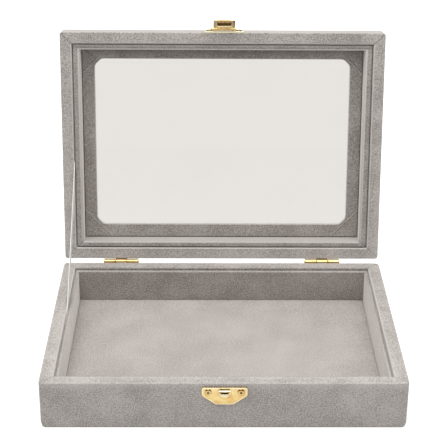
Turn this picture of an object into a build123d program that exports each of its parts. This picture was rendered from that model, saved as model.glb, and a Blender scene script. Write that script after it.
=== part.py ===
# A jewelry display box: a shallow velvet-wrapped tray, a hinged lid with a glass
# window, a ribbon stay that holds the lid open, and a drop latch on the front.
# Millimetres. The origin is the centre of the underside, +Z is up, the front faces -Y,
# and the lid is modelled where its stay holds it, fully open.
from math import cos, radians, sin
import os

from build123d import *

os.makedirs("parts", exist_ok=True)

# The box as a whole
box_width = 200.0
box_depth = 144.0
base_height = 28.0
lid_height = 18.0
open_angle = 100.0

# Velvet-wrapped boards of the two frames
rail_thick = 7.2
corner_round = 2.6
rim_round = 0.8
inner_rim_round = 0.5
foot_round = 2.4
lid_edge_round = 2.0

# Bottom of the tray
sheet_thick = 0.5
sheet_inset = 3.0
board_thick = 3.0
pad_thick = 4.2
pad_round = 1.2
pad_gap = 0.2

# Wrapped card lining, a groove in from the boards
groove = 0.6
liner_thick = 1.8
liner_drop = 1.2
liner_round = 0.8

# Lid: lips round the recess, and the surround, pane and top frame in a stack
side_lip = 4.3
end_lip = 3.2
lip_proud = 0.8
lip_round = 1.2
surround_thick = 1.2
glass_thick = 2.0
glass_gap = 0.5
top_frame_thick = 2.8
window_side_margin = 20.25
window_front_margin = 17.9
window_back_margin = 19.6
window_corner = 4.0
window_step = 1.2
window_edge_round = 0.8

# Hinges
hinge_centre = 64.2
hinge_length = 21.6
hinge_offset = 2.4
barrel_radius = 1.9
barrel_gap = 0.2
leaf_thick = 0.9
leaf_height = 10.5
leaf_gap = 0.3
leaf_corner = 1.2
hinge_pin_radius = 0.9
hinge_pin_proud = 0.3
pin_play = 0.05

# Latch plates, one on each side of the rim
plate_width = 24.8
plate_foot = 9.6
plate_side = 5.0
plate_height = 11.2
plate_thick = 1.0
plate_corner = 0.8
plate_edge = 0.4
catch_drop = 1.4
latch_rise = 0.8
nail_side_inset = 3.35
nail_inset = 3.3
nail_head = 2.0
nail_rise = 1.0
nail_shank = 0.6
nail_length = 5.0

# Hook on the lower plate, and the flat boss pressed out round it
hook_width = 6.3
hook_reach = 2.4
hook_top = 1.7
hook_height = 4.1
hook_round = 0.5
slot_width = 4.6
slot_height = 1.2
slot_top = 1.6
slot_depth = 1.2
boss_rise = 0.4
boss_side_margin = 0.55
boss_top_margin = 0.4
boss_foot_margin = 2.2
boss_bevel = 0.25

# Drop latch: its joint on the lid, and the flap with the pocket that covers the hook
latch_axis_rise = 1.4
latch_barrel_radius = 0.9
latch_barrel_length = 15.0
latch_barrel_clear = 0.2
latch_knuckle_length = 8.0
latch_eye_gap = 0.1
latch_pin_radius = 0.5
flap_thick = 0.9
flap_clear = 0.3
flap_gap = 0.4
flap_margin = 1.6
flap_corner = 1.6
flap_raised = 32.0
pocket_side_clear = 1.15
pocket_top_clear = 0.7
pocket_foot_clear = 0.5
pocket_front_clear = 0.5
pocket_wall = 0.7
pocket_round = 0.5

# Ribbon stay
ribbon_width = 10.0
ribbon_thick = 0.3
ribbon_tail = 10.0
ribbon_base_setback = 54.6
ribbon_lid_setback = 53.3

# Places worked out from the sizes above
half_width = box_width / 2
half_depth = box_depth / 2
board_top = sheet_thick + board_thick
lining_inset = rail_thick + groove
liner_inner_inset = lining_inset + liner_thick
glass_top = lid_height - top_frame_thick
surround_top = glass_top - glass_thick
recess_depth = surround_top - surround_thick
window_width = box_width - 2 * window_side_margin
window_depth = box_depth - window_front_margin - window_back_margin
window_shift = (window_front_margin - window_back_margin) / 2
knuckle_length = (hinge_length - 2 * barrel_gap) / 3
latch_axis_out = plate_thick + latch_barrel_clear + latch_barrel_radius
hook_drop = latch_axis_rise + catch_drop + hook_top
pocket_top = hook_drop - pocket_top_clear
pocket_foot = hook_drop + hook_height + pocket_foot_clear
pocket_width = hook_width + 2 * pocket_side_clear
flap_width = pocket_width + 2 * (pocket_wall + flap_margin)
flap_length = pocket_foot + pocket_wall + flap_margin
flap_back = latch_axis_out - (plate_thick + boss_rise + flap_clear)
flap_face = flap_thick - flap_back
pocket_depth = plate_thick + hook_reach + pocket_front_clear - latch_axis_out - flap_face

# The lid turns about a line behind its back face, at the height of the rim
turn = radians(open_angle)
lid_up = Vector(0, sin(turn), cos(turn))
lid_rear = Vector(0, cos(turn), -sin(turn))
hinge_point = Vector(0, half_depth + hinge_offset, base_height)
lid_frame = Plane(hinge_point - lid_rear * (half_depth + hinge_offset), x_dir=(1, 0, 0), z_dir=lid_up)

# Outside faces that carry hardware: each has its origin on the rim and its y up the face
base_front = Plane((0, -half_depth, base_height), x_dir=(1, 0, 0), z_dir=(0, -1, 0))
base_back = Plane((0, half_depth, base_height), x_dir=(-1, 0, 0), z_dir=(0, 1, 0))
lid_front = Plane(lid_frame.origin - lid_rear * half_depth, x_dir=(1, 0, 0), z_dir=-lid_rear)
lid_back = Plane(lid_frame.origin + lid_rear * half_depth, x_dir=(-1, 0, 0), z_dir=lid_rear)

# The flap hangs on its own line in front of the lid, and stands raised by its stiff joint
raised = radians(flap_raised)
flap_out = -lid_rear * cos(raised) + lid_up * sin(raised)
latch_axis = lid_front.from_local_coords((0, latch_axis_rise, latch_axis_out))
flap_frame = Plane(latch_axis, x_dir=(1, 0, 0), z_dir=flap_out)

# Corners that bound each side of a frame, as signs of x and y
side_corners = {
    "front": [(-1, -1), (1, -1)],
    "back": [(-1, 1), (1, 1)],
    "left": [(-1, -1), (-1, 1)],
    "right": [(1, -1), (1, 1)],
}


def save(piece, name):
    """Label a finished piece and write it as its own file."""
    piece.label = name
    export_step(piece, f"parts/{name}.step")


def mitres(side, frame, width, depth, side_band, end_band):
    """The upright planes of a frame's two mitred corners on one side, each facing into it."""
    facing = 1 if side in ("front", "back") else -1
    planes = []
    for sign_x, sign_y in side_corners[side]:
        corner = frame.from_local_coords((sign_x * width / 2, sign_y * depth / 2, 0))
        inward = frame.x_dir * (-sign_x * end_band) + frame.y_dir * (sign_y * side_band)
        planes.append(Plane(corner, z_dir=inward * facing))
    return planes


def rail(side, frame, low, high, rim_at_top):
    """One wrapped board of a frame, cut at its mitres out of a ring with rounded corners.

    The ring stands between two heights of the given plane, and its rim is rounded outside
    and inside. The tray's rim is at the top, and its foot is rounded too."""
    up = Axis(frame.origin, frame.z_dir)
    rim_row = -1 if rim_at_top else 0
    with BuildPart() as ring:
        with BuildSketch(frame.offset(low)):
            RectangleRounded(box_width, box_depth, corner_round)
            Rectangle(box_width - 2 * rail_thick, box_depth - 2 * rail_thick, mode=Mode.SUBTRACT)
        extrude(amount=high - low)
        fillet(ring.faces().sort_by(up)[rim_row].outer_wire().edges(), rim_round)
        fillet(ring.faces().sort_by(up)[rim_row].inner_wires()[0].edges(), inner_rim_round)
        if rim_at_top:
            fillet(ring.faces().sort_by(up)[0].outer_wire().edges(), foot_round)
        for plane in mitres(side, frame, box_width, box_depth, rail_thick, rail_thick):
            split(bisect_by=plane, keep=Keep.TOP)
    return ring.part


def strip(side, frame, side_band, end_band, seat, free, outer_round, inner_round):
    """One strip of the lining or the lips: its section run along the side, cut at both mitres.

    It stands from its seat to its free edge, whose outer and inner corners are rounded."""
    width = box_width - 2 * lining_inset
    depth = box_depth - 2 * lining_inset
    (first_x, first_y), (second_x, second_y) = side_corners[side]
    outward = frame.x_dir * ((first_x + second_x) / 2) + frame.y_dir * ((first_y + second_y) / 2)
    along_x = first_x != second_x
    reach = depth / 2 if along_x else width / 2
    length = width if along_x else depth
    band = end_band if along_x else side_band
    free_row = -1 if free > seat else 0
    with BuildPart() as run:
        middle = Plane(frame.origin + outward * reach, x_dir=-outward, z_dir=frame.z_dir.cross(outward))
        with BuildSketch(middle) as section:
            with Locations((band / 2, (seat + free) / 2)):
                Rectangle(band, abs(free - seat))
            for column, radius in ((0, outer_round), (-1, inner_round)):
                fillet(section.vertices().group_by(Axis.X)[column].sort_by(Axis.Y)[free_row], radius)
        extrude(amount=length / 2, both=True)
        for plane in mitres(side, frame, width, depth, side_band, end_band):
            split(bisect_by=plane, keep=Keep.TOP)
    return run.part


def drilled(piece, face, places):
    """A board with a blind hole for each nail shank, drilled square to one of its faces."""
    with BuildPart() as board:
        add(piece)
        with BuildSketch(face):
            with Locations(*places):
                Circle(nail_shank + pin_play)
        extrude(amount=-nail_length, mode=Mode.SUBTRACT)
    return board.part


def nails(face, places):
    """Domed nails whose heads sit on a plate and whose shanks fill the drilled holes."""
    dome = (nail_head**2 + nail_rise**2) / (2 * nail_rise)
    top = plate_thick + nail_rise
    with BuildPart() as row:
        for across, along in places:
            middle = Plane(face.from_local_coords((across, along, 0)), x_dir=face.x_dir, z_dir=-face.y_dir)
            with BuildSketch(middle):
                with BuildLine():
                    Line((0, -nail_length), (nail_shank, -nail_length))
                    Line((nail_shank, -nail_length), (nail_shank, plate_thick))
                    Line((nail_shank, plate_thick), (nail_head, plate_thick))
                    RadiusArc((nail_head, plate_thick), (0, top), -dome)
                    Line((0, top), (0, -nail_length))
                make_face()
            revolve(axis=Axis(middle.origin, face.z_dir))
    return row.part


def window_outline(grow):
    """The window with its cut corners, grown evenly on every side."""
    with BuildSketch() as outline:
        Rectangle(window_width, window_depth)
        chamfer(outline.vertices(), window_corner)
        offset(amount=grow, kind=Kind.INTERSECTION)
    return outline.sketch


def across(face, start, along, out):
    """An upright plane across a face, at a height up it and a distance out from it."""
    return Plane(face.from_local_coords((start, along, out)), x_dir=face.y_dir, z_dir=face.x_dir)


def hinge_seat(face, sign):
    """The place on a back face, on its rim, where the hinge of one side is centred."""
    return Plane(face.from_local_coords((-sign * hinge_centre, 0, 0)), x_dir=face.x_dir, z_dir=face.z_dir)


def hinge_leaf(face, toward, starts):
    """A flat leaf with a rolled knuckle at each start, and notched round the other leaf's."""
    clear = barrel_radius + leaf_gap
    with BuildPart() as leaf:
        with BuildSketch(face) as flat:
            with Locations((0, toward * (clear + leaf_height) / 2)):
                Rectangle(hinge_length, leaf_height - clear)
            fillet(flat.vertices().group_by(Axis.Y)[-1 if toward > 0 else 0], leaf_corner)
            for start in starts:
                with Locations((start + knuckle_length / 2, toward * clear / 2)):
                    Rectangle(knuckle_length, clear)
        extrude(amount=leaf_thick)
        for start in starts:
            with BuildSketch(across(face, start, 0, hinge_offset)):
                Circle(barrel_radius)
            extrude(amount=knuckle_length)
        with BuildSketch(across(face, 0, 0, hinge_offset)):
            Circle(hinge_pin_radius + pin_play)
        extrude(amount=hinge_length, both=True, mode=Mode.SUBTRACT)
    return leaf.part


def shield(face, edge, toward):
    """A latch plate: a half octagon with its wide edge by the rim."""
    half = plate_width / 2
    foot = plate_foot / 2
    with BuildPart() as plate:
        with BuildSketch(face) as outline:
            with BuildLine():
                Polyline(
                    (-half, edge),
                    (half, edge),
                    (half, edge + toward * plate_side),
                    (foot, edge + toward * plate_height),
                    (-foot, edge + toward * plate_height),
                    (-half, edge + toward * plate_side),
                    close=True,
                )
            make_face()
            fillet(outline.vertices(), plate_corner)
        extrude(amount=plate_thick)
        chamfer(plate.faces().sort_by(Axis(face.origin, face.z_dir))[-1].edges(), plate_edge)
        with BuildSketch(face):
            with Locations(*plate_places(edge, toward)):
                Circle(nail_shank + pin_play)
        extrude(amount=plate_thick, mode=Mode.SUBTRACT)
    return plate.part


def plate_places(edge, toward):
    """Where a plate's two nails go, a little in from its wide edge."""
    spread = plate_width / 2 - nail_side_inset
    return [(sign * spread, edge + toward * nail_inset) for sign in (-1, 1)]


def half_round(width, height, top):
    """A tongue outline: straight along its top edge, and half round at its foot."""
    radius = width / 2
    with BuildSketch() as tongue:
        with Locations((0, top - (height - radius) / 2)):
            Rectangle(width, height - radius)
        with Locations((0, top - (height - radius))):
            Circle(radius)
        with Locations((0, top + radius)):
            Rectangle(width, width, mode=Mode.SUBTRACT)
    return tongue.sketch


# Frame of the tray: four mitred boards, the front one holed where its latch plate is nailed on
catch_places = plate_places(-catch_drop, -1)
for side in side_corners:
    board = rail(side, Plane.XY, sheet_thick, base_height, rim_at_top=True)
    if side == "front":
        board = drilled(board, base_front, catch_places)
    save(board, f"base_{side}_rail")

# Bottom board let in between the rails
with BuildPart() as base_bottom_board:
    with BuildSketch(Plane.XY.offset(sheet_thick)):
        Rectangle(box_width - 2 * rail_thick, box_depth - 2 * rail_thick)
    extrude(amount=board_thick)
save(base_bottom_board.part, "base_bottom_board")

# Thin sheet that covers the underside, and on which the box stands
with BuildPart() as underside_sheet:
    with BuildSketch():
        Rectangle(box_width - 2 * sheet_inset, box_depth - 2 * sheet_inset)
    extrude(amount=sheet_thick)
save(underside_sheet.part, "underside_sheet")

# Lining strips that stand on the bottom board, a groove away from the rails
liner_top = base_height - liner_drop
for side in side_corners:
    liner = strip(side, Plane.XY, liner_thick, liner_thick, board_top, liner_top, liner_round, liner_round)
    save(liner, f"base_{side}_liner")

# Loose pad on the floor of the tray
with BuildPart() as floor_pad:
    with BuildSketch(Plane.XY.offset(board_top)):
        Rectangle(
            box_width - 2 * (liner_inner_inset + pad_gap),
            box_depth - 2 * (liner_inner_inset + pad_gap),
        )
    extrude(amount=pad_thick)
    fillet(floor_pad.faces().sort_by(Axis.Z)[-1].edges(), pad_round)
save(floor_pad.part, "floor_pad")

# Frame of the lid: four mitred boards under a one-piece top frame
latch_places = plate_places(latch_rise, 1)
for side in side_corners:
    board = rail(side, lid_frame, 0, glass_top, rim_at_top=False)
    if side == "front":
        board = drilled(board, lid_front, latch_places)
    save(board, f"lid_{side}_rail")

with BuildPart() as lid_top_frame:
    with BuildSketch(lid_frame.offset(glass_top)):
        RectangleRounded(box_width, box_depth, corner_round)
        with Locations((0, window_shift)):
            add(window_outline(window_step), mode=Mode.SUBTRACT)
    extrude(amount=lid_height - glass_top)
    lid_axis = Axis(lid_frame.origin, lid_frame.z_dir)
    fillet(lid_top_frame.faces().sort_by(lid_axis)[-1].outer_wire().edges(), lid_edge_round)
    fillet(lid_top_frame.faces().sort_by(lid_axis)[-1].inner_wires()[0].edges(), window_edge_round)
save(lid_top_frame.part, "lid_top_frame")

# Glass pane, between the top frame and the surround
with BuildPart() as glass_pane:
    with BuildSketch(lid_frame.offset(surround_top)):
        Rectangle(
            box_width - 2 * (rail_thick + glass_gap),
            box_depth - 2 * (rail_thick + glass_gap),
        )
    extrude(amount=glass_thick)
save(glass_pane.part, "glass_pane")

# Wrapped card surround with the cut-cornered window
with BuildPart() as window_surround:
    with BuildSketch(lid_frame.offset(recess_depth)):
        Rectangle(
            box_width - 2 * (rail_thick + glass_gap),
            box_depth - 2 * (rail_thick + glass_gap),
        )
        with Locations((0, window_shift)):
            add(window_outline(0), mode=Mode.SUBTRACT)
    extrude(amount=surround_thick)
save(window_surround.part, "window_surround")

# Padded lips that hold the surround and stand a little proud of the rim
for side in side_corners:
    lip = strip(side, lid_frame, side_lip, end_lip, recess_depth, -lip_proud, liner_round, lip_round)
    save(lip, f"lid_lip_{side}")

# Two hinges: the tray's leaf has the outer knuckles, the lid's leaf the middle one
outer_starts = [-hinge_length / 2, hinge_length / 2 - knuckle_length]
middle_start = [-knuckle_length / 2]
for name, sign in (("left", -1), ("right", 1)):
    save(hinge_leaf(hinge_seat(base_back, sign), -1, outer_starts), f"hinge_{name}_base_leaf")
    save(hinge_leaf(hinge_seat(lid_back, sign), 1, middle_start), f"hinge_{name}_lid_leaf")
    with BuildPart() as hinge_pin:
        with BuildSketch(across(hinge_seat(base_back, sign), 0, 0, hinge_offset)):
            Circle(hinge_pin_radius)
        extrude(amount=hinge_length / 2 + hinge_pin_proud, both=True)
        chamfer(hinge_pin.edges().filter_by(GeomType.CIRCLE), hinge_pin_proud)
    save(hinge_pin.part, f"hinge_{name}_pin")

# Lower latch plate with its pressed-out boss and hook
catch_edge = base_front.origin - Vector(0, 0, catch_drop)
catch_face = Plane(catch_edge - Vector(0, plate_thick, 0), x_dir=(1, 0, 0), z_dir=(0, -1, 0))
with BuildPart() as catch_plate:
    add(shield(base_front, -catch_drop, -1))
    with BuildSketch(catch_face):
        add(
            half_round(
                hook_width + 2 * boss_side_margin,
                hook_height + boss_top_margin + boss_foot_margin,
                boss_top_margin - hook_top,
            )
        )
    extrude(amount=boss_rise)
    chamfer(catch_plate.faces().sort_by(Axis.Y)[0].edges(), boss_bevel)
    with BuildSketch(catch_face):
        add(half_round(hook_width, hook_height, -hook_top))
    extrude(amount=hook_reach)
    fillet(catch_plate.faces().sort_by(Axis.Y)[0].edges(), hook_round)
    slot_level = -hook_top - slot_top
    with BuildSketch(catch_face.offset(hook_reach)):
        with BuildLine():
            Line((slot_width / 2, slot_level), (-slot_width / 2, slot_level))
            SagittaArc((-slot_width / 2, slot_level), (slot_width / 2, slot_level), -slot_height)
        make_face()
    extrude(amount=-slot_depth, mode=Mode.SUBTRACT)
save(catch_plate.part, "catch_plate")
save(nails(base_front, catch_places), "catch_nails")

# Upper latch plate with the two outer eyes of the flap's joint
eye_length = (latch_barrel_length - latch_knuckle_length) / 2 - latch_eye_gap
with BuildPart() as latch_plate:
    add(shield(lid_front, latch_rise, 1))
    for start in (-latch_barrel_length / 2, latch_barrel_length / 2 - eye_length):
        with BuildSketch(lid_front.offset(plate_thick)):
            with Locations((start + eye_length / 2, latch_axis_rise + latch_barrel_radius / 2)):
                Rectangle(eye_length, latch_barrel_radius)
        extrude(amount=latch_axis_out - plate_thick)
        with BuildSketch(across(lid_front, start, latch_axis_rise, latch_axis_out)):
            Circle(latch_barrel_radius)
        extrude(amount=eye_length)
    with BuildSketch(across(lid_front, 0, latch_axis_rise, latch_axis_out)):
        Circle(latch_pin_radius + pin_play)
    extrude(amount=latch_barrel_length, both=True, mode=Mode.SUBTRACT)
save(latch_plate.part, "latch_plate")
save(nails(lid_front, latch_places), "latch_nails")

with BuildPart() as latch_pin:
    with BuildSketch(across(flap_frame, 0, 0, 0)):
        Circle(latch_pin_radius)
    extrude(amount=latch_barrel_length / 2, both=True)
save(latch_pin.part, "latch_pin")

# Flap: a plate that hangs on the middle eye, with a pocket pressed out to cover the hook
flap_shoulder = latch_barrel_radius + flap_gap
with BuildPart() as latch_flap:
    with BuildSketch(flap_frame.offset(-flap_back)) as flap_outline:
        with Locations((0, -(flap_shoulder + flap_length) / 2)):
            Rectangle(flap_width, flap_length - flap_shoulder)
        fillet(flap_outline.vertices().group_by(Axis.Y)[0], flap_corner)
        with Locations((0, -flap_shoulder / 2)):
            Rectangle(latch_knuckle_length, flap_shoulder)
    extrude(amount=flap_thick)
    with BuildSketch(across(flap_frame, 0, 0, 0)):
        Circle(latch_barrel_radius)
    extrude(amount=latch_knuckle_length / 2, both=True)
    with BuildSketch(flap_frame.offset(flap_face)):
        with Locations((0, -(pocket_top + pocket_foot) / 2)):
            Rectangle(pocket_width + 2 * pocket_wall, pocket_foot - pocket_top + 2 * pocket_wall)
    extrude(amount=pocket_depth + pocket_wall)
    pocket_crown = latch_flap.faces().sort_by(Axis(flap_frame.origin, flap_frame.z_dir))[-1]
    fillet(pocket_crown.edges(), pocket_round)
    with BuildSketch(flap_frame.offset(-flap_back)):
        with Locations((0, -(pocket_top + pocket_foot) / 2)):
            Rectangle(pocket_width, pocket_foot - pocket_top)
    extrude(amount=flap_thick + pocket_depth, mode=Mode.SUBTRACT)
    with BuildSketch(across(flap_frame, 0, 0, 0)):
        Circle(latch_pin_radius + pin_play)
    extrude(amount=latch_barrel_length, both=True, mode=Mode.SUBTRACT)
save(latch_flap.part, "latch_flap")

# Ribbon stay in the left groove, drawn straight from the tray's rim to the lid's
ribbon_x = -(half_width - rail_thick - groove / 2)
ribbon_low = Vector(ribbon_x, half_depth - ribbon_base_setback, base_height)
ribbon_high = lid_frame.from_local_coords((ribbon_x, half_depth - ribbon_lid_setback, 0))
ribbon_run = ribbon_high - ribbon_low
with BuildPart() as lid_ribbon:
    with BuildSketch(Plane((ribbon_low + ribbon_high) * 0.5, x_dir=ribbon_run, z_dir=(1, 0, 0))):
        Rectangle(ribbon_run.length + 2 * ribbon_tail, ribbon_width)
    extrude(amount=ribbon_thick / 2, both=True)
save(lid_ribbon.part, "lid_ribbon")
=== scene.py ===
# %% [markdown]
# # A velvet jewelry box with a glass lid
#
# This lesson dresses a small jewelry box in Blender. The box has a shallow tray, a hinged lid
# with a glass window, a white ribbon that holds the lid open, and a gold drop latch.
# The construction comes ready made: it was modelled in a CAD program, and the first cell loads
# it as a fixed frame. Blender gives it what the CAD model lacks: velvet, seams, rolled hinges,
# a pressed latch, a satin ribbon and light. Hidden parts, such as the back, are guesses.

# %% Load the frame
import math

import bmesh
import bpy
from mathutils import Matrix, Vector
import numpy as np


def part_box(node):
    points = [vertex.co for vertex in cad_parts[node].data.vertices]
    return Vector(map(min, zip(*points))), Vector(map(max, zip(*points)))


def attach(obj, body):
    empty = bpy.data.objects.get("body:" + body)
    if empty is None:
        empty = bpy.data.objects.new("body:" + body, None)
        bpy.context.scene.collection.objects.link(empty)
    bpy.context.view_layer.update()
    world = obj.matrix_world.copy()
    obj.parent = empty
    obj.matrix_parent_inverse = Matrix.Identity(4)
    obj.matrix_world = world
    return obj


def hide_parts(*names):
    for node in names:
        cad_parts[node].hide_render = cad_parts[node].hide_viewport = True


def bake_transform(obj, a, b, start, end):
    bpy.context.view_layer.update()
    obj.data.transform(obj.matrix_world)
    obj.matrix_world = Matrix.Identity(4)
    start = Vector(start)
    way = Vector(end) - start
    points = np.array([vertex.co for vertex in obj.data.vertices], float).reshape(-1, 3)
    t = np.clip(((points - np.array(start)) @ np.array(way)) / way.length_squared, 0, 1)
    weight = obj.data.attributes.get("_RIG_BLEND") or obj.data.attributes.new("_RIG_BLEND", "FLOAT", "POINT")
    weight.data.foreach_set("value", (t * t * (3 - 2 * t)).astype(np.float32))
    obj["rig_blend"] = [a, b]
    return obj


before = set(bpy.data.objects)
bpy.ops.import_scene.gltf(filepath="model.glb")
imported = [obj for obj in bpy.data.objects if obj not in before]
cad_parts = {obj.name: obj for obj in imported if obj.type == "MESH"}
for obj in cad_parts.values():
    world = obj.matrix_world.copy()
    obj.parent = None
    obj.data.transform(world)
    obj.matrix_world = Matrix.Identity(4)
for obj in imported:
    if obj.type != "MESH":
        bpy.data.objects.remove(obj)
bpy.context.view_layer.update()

# %% [markdown]
# ## Sizes
#
# The new pieces have to sit on the CAD pieces, so the sizes are the same ones. We draw in
# millimetres, because that is how such a box is measured, and scale each finished piece to
# metres at the end. x runs to the right, y to the back and z up. The boards end at the rim, and
# the velvet's pile stands half a millimetre above it.

# %% Sizes in millimetres
MM = 0.001
half_width, half_depth = 100.0, 72.0
foot, rim, tray_top = 0.5, 28.0, 28.5
board = 7.2
corner = 2.6
groove = 0.6
lining_edge = board + groove
lid_depth, glass_top, card_top, card_face = 18.0, 15.2, 13.2, 12.0
low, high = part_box("base_front_rail")
print("front board from", [round(v / MM, 1) for v in low], "to", [round(v / MM, 1) for v in high])

# %% [markdown]
# ## Where the lid stands
#
# The lid is open, turned 100 degrees about the hinge line behind the tray. Drawing every lid
# piece at that slant would be hard to read. We draw it flat instead, as the lid would lie with
# its rim on the table: z is 0 on the rim and grows into the lid, and y grows towards the hinge.
# One matrix then carries the finished piece to its real place.

# %% Matrices for the lid and for the faces that carry metal
def frame_matrix(origin, across, outward):
    """A place with x across, z outward and y at right angles to both."""
    across, outward = Vector(across).normalized(), Vector(outward).normalized()
    up = outward.cross(across)
    matrix = Matrix((across, up, outward)).transposed().to_4x4()
    matrix.translation = Vector(origin)
    return matrix


turn = math.radians(100)
hinge_out = 2.4
lid_up = Vector((0, math.sin(turn), math.cos(turn)))
lid_rear = Vector((0, math.cos(turn), -math.sin(turn)))
hinge_line = Vector((0, half_depth + hinge_out, rim))
lid_origin = hinge_line - lid_rear * (half_depth + hinge_out)
in_lid = frame_matrix(lid_origin, (1, 0, 0), lid_up)
tray_front = frame_matrix((0, -half_depth, rim), (1, 0, 0), (0, -1, 0))
tray_back = frame_matrix((0, half_depth, rim), (-1, 0, 0), (0, 1, 0))
lid_front = frame_matrix(lid_origin - lid_rear * half_depth, (1, 0, 0), -lid_rear)
lid_back = frame_matrix(lid_origin + lid_rear * half_depth, (-1, 0, 0), lid_rear)
print("lid origin", [round(v, 2) for v in lid_origin])

# %% [markdown]
# ## Colours and nodes
#
# Colours are written as sRGB hex values, the numbers a paint program shows. Blender's shaders
# want linear light, so one function converts them. A second small function adds a shader node,
# sets its fields and fills its sockets: a socket gets either a value or a link from another node.

# %% Colour and node helpers
def linear(hex_colour, alpha=1.0):
    """An sRGB hex colour as the linear colour that a shader takes."""
    values = []
    for start in (1, 3, 5):
        c = int(hex_colour[start:start + 2], 16) / 255
        values.append(c / 12.92 if c <= 0.04045 else ((c + 0.055) / 1.055) ** 2.4)
    return (*values, alpha)


def add_node(material, kind, sockets, **settings):
    """Adds a node with its settings, and sets or links its sockets by name or number."""
    node = material.node_tree.nodes.new(kind)
    for name, value in settings.items():
        setattr(node, name, value)
    for key, value in sockets.items():
        if isinstance(value, bpy.types.NodeSocket):
            material.node_tree.links.new(value, node.inputs[key])
        else:
            node.inputs[key].default_value = value
    return node


def start_material(name):
    """An empty node material and its object coordinates, which are metres on every piece."""
    material = bpy.data.materials.new(name)
    material.use_nodes = True
    material.node_tree.nodes.clear()
    place = add_node(material, "ShaderNodeTexCoord", {}).outputs["Object"]
    return material, place


def end_material(material, shader):
    """Links the finished shader to the material's output."""
    add_node(material, "ShaderNodeOutputMaterial", {"Surface": shader.outputs[0]})
    return material


# %% [markdown]
# ## Three patterns that the finishes share
#
# Pile, wear, dust and fibre are all uneven spots of some size, so one function makes a noise
# from a size in millimetres. A second mixes two colours. The third reads a mark, a number that
# we write on the vertices of each piece later: above zero the surface turns towards a pale
# colour, and below zero towards a dark one. With it we paint highlights and shade into the
# colour where the shape has its folds and edges, which a noise couldn't do.

# %% Pattern helpers
def noise(material, place, spot_mm, detail, roughness=0.5):
    """A noise whose spots have about the given size."""
    return add_node(material, "ShaderNodeTexNoise",
                    {"Vector": place, "Scale": 1 / (spot_mm * MM), "Detail": detail,
                     "Roughness": roughness}).outputs["Fac"]


def mix(material, share, first, second):
    """A mix of two colours, each a hex value or a link from another node."""
    first, second = (linear(c) if isinstance(c, str) else c for c in (first, second))
    return add_node(material, "ShaderNodeMix", {0: share, 6: first, 7: second},
                    data_type="RGBA").outputs[2]


def tint_marks(material, mark, ground, pale, dark):
    """A ground painted pale where a mark is above zero and dark where it is below, as light and shade."""
    above = add_node(material, "ShaderNodeAttribute", {}, attribute_name=mark).outputs["Fac"]
    below = add_node(material, "ShaderNodeMath", {0: above, 1: -1.0}, operation="MULTIPLY")
    return mix(material, below.outputs[0], mix(material, above, ground, pale), dark)


# %% [markdown]
# ## Velvet
#
# Velvet is a cloth with a short dense pile. Looked at along the pile tips it shows its dark
# depth, and at a grazing angle the fibre sides catch the light, so rounded edges look paler than
# flats. The sheen of the Principled shader does this. The pile is also uneven: tufts lean
# different ways, and brushing leaves wider soft patches. Single fibres are far too fine for this
# render, so the tufts are drawn 0.7 mm wide. Light and shade are also painted into the colour
# with one vertex mark: above zero it paints a pale highlight on rounded edges, and below zero it
# paints dark shade into creases, grooves and seams.

# %% Velvet material
def velvet(name, deep, light, patch_mm=16.0, tuft_mm=0.7):
    """Cotton velvet glued on board: matt, with a pale sheen and a mottled pile."""
    material, place = start_material(name)
    tufts = noise(material, place, tuft_mm, 1.0)
    patches = noise(material, place, patch_mm, 2.0)
    both = add_node(material, "ShaderNodeMath", {0: patches, 1: 0.35, 2: tufts},
                    operation="MULTIPLY_ADD")
    tone = add_node(material, "ShaderNodeMapRange",
                    {"Value": both.outputs[0], "From Min": 0.53, "From Max": 0.81})
    ground = mix(material, tone.outputs[0], deep, light)
    # painted light and shade: the mark mixes in a pale highlight colour and a dark shade colour
    colour = tint_marks(material, "painted_shading", ground, "#CDC8C4", "#3E3B38")
    pile = add_node(material, "ShaderNodeBump",
                    {"Height": tufts, "Strength": 0.35, "Distance": 0.3 * MM})
    shader = add_node(material, "ShaderNodeBsdfPrincipled",
                      {"Base Color": colour, "Roughness": 0.95, "Specular IOR Level": 0.15,
                       "Sheen Weight": 1.0, "Sheen Roughness": 0.35,
                       "Sheen Tint": linear("#FFF9F4"), "Normal": pile.outputs[0]})
    return end_material(material, shader)


tray_velvet = velvet("velvet_on_tray", "#908A85", "#C1BBB6")
lid_velvet = velvet("velvet_on_lid", "#908A85", "#C1BBB6")
# The lining and lip velvets are darker copies of the same cloth, painted shade for the recesses they sit in;
# the pad's velvet is a lighter copy, painted light.
shaded_lining_velvet = velvet("velvet_lining_shaded", "#847E79", "#B0AAA5")
shaded_lip_velvet = velvet("velvet_lip_shaded", "#857F7A", "#AEA8A3")
lit_pad_velvet = velvet("velvet_pad_lit", "#A09A95", "#BFB9B4", patch_mm=22.0)
velvets = (tray_velvet, lid_velvet, shaded_lining_velvet, shaded_lip_velvet, lit_pad_velvet)
print("velvets:", [m.name for m in velvets])
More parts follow.
